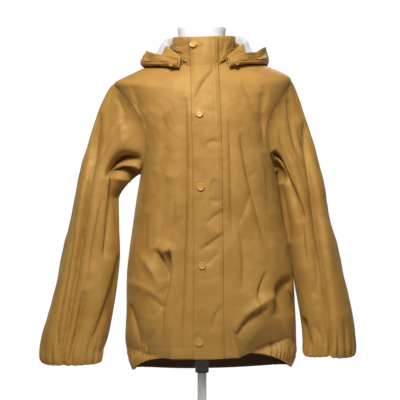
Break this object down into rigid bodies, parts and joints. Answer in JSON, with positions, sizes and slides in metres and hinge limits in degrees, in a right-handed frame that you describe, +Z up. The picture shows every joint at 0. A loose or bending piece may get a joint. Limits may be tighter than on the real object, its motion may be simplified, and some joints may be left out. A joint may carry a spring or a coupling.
{
  "type": "kids raincoat on a dress form",
  "caption": "Hooded child's raincoat with storm flap, snaps and gathered wrists and hem, closed and filled out on a limbless dress form with a round base.",
  "frame": {"origin": "the middle of the base's underside, on the floor", "axes": "+Z up, -Y out of the coat's front, +X to the right of a picture taken from the front"},
  "size_m": [0.6187, 0.2893, 0.8152],
  "materials": {
    "coated_cloth": "smooth knit cloth with a matt rubbery coating, mustard brown",
    "snap_cap": "moulded, cloth-coloured",
    "form_shell": "smooth white cover",
    "dark_metal": "dark satin tube",
    "pale_metal": "white powder coat"
  },
  "bodies": {
    "root": {"front_left": "coated_cloth", "front_right": "coated_cloth", "back": "coated_cloth", "sleeve_left": "coated_cloth", "sleeve_right": "coated_cloth", "collar": "coated_cloth", "neck_band": "coated_cloth", "storm_flap": "coated_cloth", "hood": "coated_cloth", "snap_1": "snap_cap", "snap_2": "snap_cap", "snap_3": "snap_cap", "snap_4": "snap_cap", "snap_5": "snap_cap", "hood_snap_left": "snap_cap", "hood_snap_right": "snap_cap", "dress_form": "form_shell", "form_socket": "dark_metal", "pole": "pale_metal", "base": "pale_metal"}
  },
  "joints": []
}
